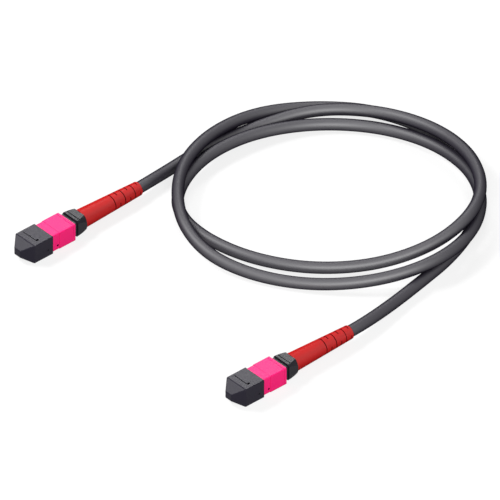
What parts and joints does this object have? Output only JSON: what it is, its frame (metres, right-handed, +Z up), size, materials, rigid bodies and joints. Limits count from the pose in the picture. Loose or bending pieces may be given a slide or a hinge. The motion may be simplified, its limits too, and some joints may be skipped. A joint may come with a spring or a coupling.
{
  "type": "mpo patch cable",
  "caption": "Coiled fibre patch cable with a capped push-pull multi-fibre plug at each end, each with a sprung coupling sleeve, sprung ferrule and slit strain relief boot",
  "frame": {"origin": "on the floor, midway between the two plugs and midway along their length", "axes": "+Z up; the plugs lie along Y with their caps towards -Y and the coil towards +Y"},
  "size_m": [0.1551, 0.1971, 0.0174],
  "materials": {
    "cable_jacket": "satin",
    "cap_plastic": "satin",
    "sleeve_plastic": "satin",
    "housing_plastic": "satin",
    "ferrule_resin": "polished face",
    "steel": "bright",
    "soft_boot": "matte",
    "ribbon": "clear coated",
    "collar_plastic": "satin",
    "crimp_metal": "plain",
    "boot_rubber": "matte"
  },
  "bodies": {
    "cord_and_plugs": {"cable": "cable_jacket", "inner_housing_a": "housing_plastic", "rear_collar_a": "collar_plastic", "crimp_ring_a": "crimp_metal", "strain_relief_boot_a": "boot_rubber", "fibre_ribbon_a": "ribbon", "coupling_springs_a": "steel", "ferrule_spring_a": "steel", "inner_housing_b": "housing_plastic", "rear_collar_b": "collar_plastic", "crimp_ring_b": "crimp_metal", "strain_relief_boot_b": "boot_rubber", "fibre_ribbon_b": "ribbon", "coupling_springs_b": "steel", "ferrule_spring_b": "steel"},
    "cap_a": {"dust_cap_a": "cap_plastic"},
    "sleeve_a": {"coupling_sleeve_a": "sleeve_plastic"},
    "ferrule_a": {"ferrule_a": "ferrule_resin", "pin_clamp_a": "steel", "ferrule_boot_a": "soft_boot"},
    "cap_b": {"dust_cap_b": "cap_plastic"},
    "sleeve_b": {"coupling_sleeve_b": "sleeve_plastic"},
    "ferrule_b": {"ferrule_b": "ferrule_resin", "pin_clamp_b": "steel", "ferrule_boot_b": "soft_boot"}
  },
  "joints": [
    {"name": "cap_pull_a", "type": "slide", "parent": "cord_and_plugs", "child": "cap_a", "axis": [0, -1, 0], "range_m": [0, 0.02]},
    {"name": "sleeve_slide_a", "type": "slide", "parent": "cord_and_plugs", "child": "sleeve_a", "axis": [0, 1, 0], "range_m": [0, 0.002], "stiffness_N_per_m": 1200, "deforming": ["coupling_springs_a"]},
    {"name": "ferrule_slide_a", "type": "slide", "parent": "cord_and_plugs", "child": "ferrule_a", "axis": [0, 1, 0], "range_m": [0, 0.0008], "stiffness_N_per_m": 3000, "deforming": ["ferrule_spring_a", "fibre_ribbon_a"]},
    {"name": "cap_pull_b", "type": "slide", "parent": "cord_and_plugs", "child": "cap_b", "axis": [0, -1, 0], "range_m": [0, 0.02]},
    {"name": "sleeve_slide_b", "type": "slide", "parent": "cord_and_plugs", "child": "sleeve_b", "axis": [0, 1, 0], "range_m": [0, 0.002], "stiffness_N_per_m": 1200, "deforming": ["coupling_springs_b"]},
    {"name": "ferrule_slide_b", "type": "slide", "parent": "cord_and_plugs", "child": "ferrule_b", "axis": [0, 1, 0], "range_m": [0, 0.0008], "stiffness_N_per_m": 3000, "deforming": ["ferrule_spring_b", "fibre_ribbon_b"]}
  ]
}
